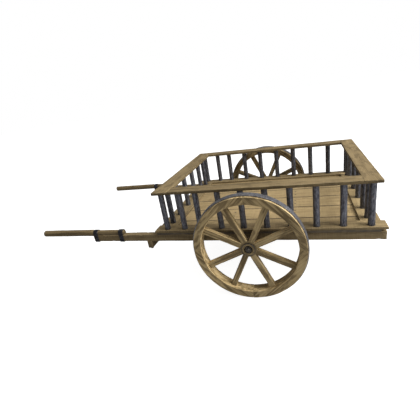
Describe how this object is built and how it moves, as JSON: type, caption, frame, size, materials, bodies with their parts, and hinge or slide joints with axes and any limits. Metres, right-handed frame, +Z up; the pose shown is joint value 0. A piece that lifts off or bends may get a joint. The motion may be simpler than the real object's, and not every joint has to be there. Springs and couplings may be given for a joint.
{
  "type": "wooden hand cart",
  "caption": "Wooden stake-sided hand cart with spoked, iron-tyred wheels, a planked floor, an open top rail and round pulling shafts.",
  "frame": {"origin": "on the ground, under the middle of the cart's overall length and width", "axes": "+X forwards, towards the shafts' tips; +Y to the cart's left; +Z up"},
  "size_m": [3.07, 1.728, 0.911],
  "materials": {
    "deck_wood": "weathered, bare",
    "frame_wood": "weathered, bare",
    "inner_wood": "bare, darker",
    "black_iron": "forged, mottled, dull",
    "tyre_iron": "worn to grey on the tread"
  },
  "bodies": {
    "cart": {"sill_left": "frame_wood", "sill_right": "frame_wood", "shaft_pole_left": "frame_wood", "shaft_pole_right": "frame_wood", "shaft_band_front_left": "black_iron", "shaft_band_front_right": "black_iron", "shaft_band_rear_left": "black_iron", "shaft_band_rear_right": "black_iron", "front_cross_beam": "frame_wood", "tail_beam": "frame_wood", "tail_pegs": "inner_wood", "joist_1": "inner_wood", "joist_2": "inner_wood", "joist_3": "inner_wood", "joist_4": "inner_wood", "axle_bed": "frame_wood", "axle": "black_iron", "axle_plates": "black_iron", "beam_washers": "black_iron", "coach_screws": "frame_wood", "floor_plank_1": "deck_wood", "floor_plank_2": "deck_wood", "floor_plank_3": "deck_wood", "floor_plank_4": "deck_wood", "floor_plank_5": "deck_wood", "floor_plank_6": "deck_wood", "floor_nails": "black_iron", "side_board_left": "deck_wood", "side_board_right": "deck_wood", "end_board_front": "deck_wood", "end_board_rear": "deck_wood", "posts_left": "black_iron", "posts_right": "black_iron", "posts_front": "black_iron", "posts_rear": "black_iron", "rail_left": "deck_wood", "rail_right": "deck_wood", "rail_front_end": "deck_wood", "rail_rear_end": "deck_wood", "rail_nails": "black_iron", "inner_washers": "black_iron", "outer_washers": "black_iron", "axle_nuts": "black_iron", "split_pins": "black_iron"},
    "wheel_left": {"tyre_left": "tyre_iron", "felloes_left": "frame_wood", "felloe_dowels_left": "inner_wood", "spokes_left": "frame_wood", "nave_left": "frame_wood", "nave_bands_left": "black_iron", "hub_bush_left": "black_iron"},
    "wheel_right": {"tyre_right": "tyre_iron", "felloes_right": "frame_wood", "felloe_dowels_right": "inner_wood", "spokes_right": "frame_wood", "nave_right": "frame_wood", "nave_bands_right": "black_iron", "hub_bush_right": "black_iron"}
  },
  "joints": [
    {"name": "wheel_left_spin", "type": "hinge", "parent": "cart", "child": "wheel_left", "pos_m": [-0.55, 0.814, 0.45], "axis": [0, 1, 0], "continuous": true},
    {"name": "wheel_right_spin", "type": "hinge", "parent": "cart", "child": "wheel_right", "pos_m": [-0.55, -0.814, 0.45], "axis": [0, 1, 0], "continuous": true}
  ]
}
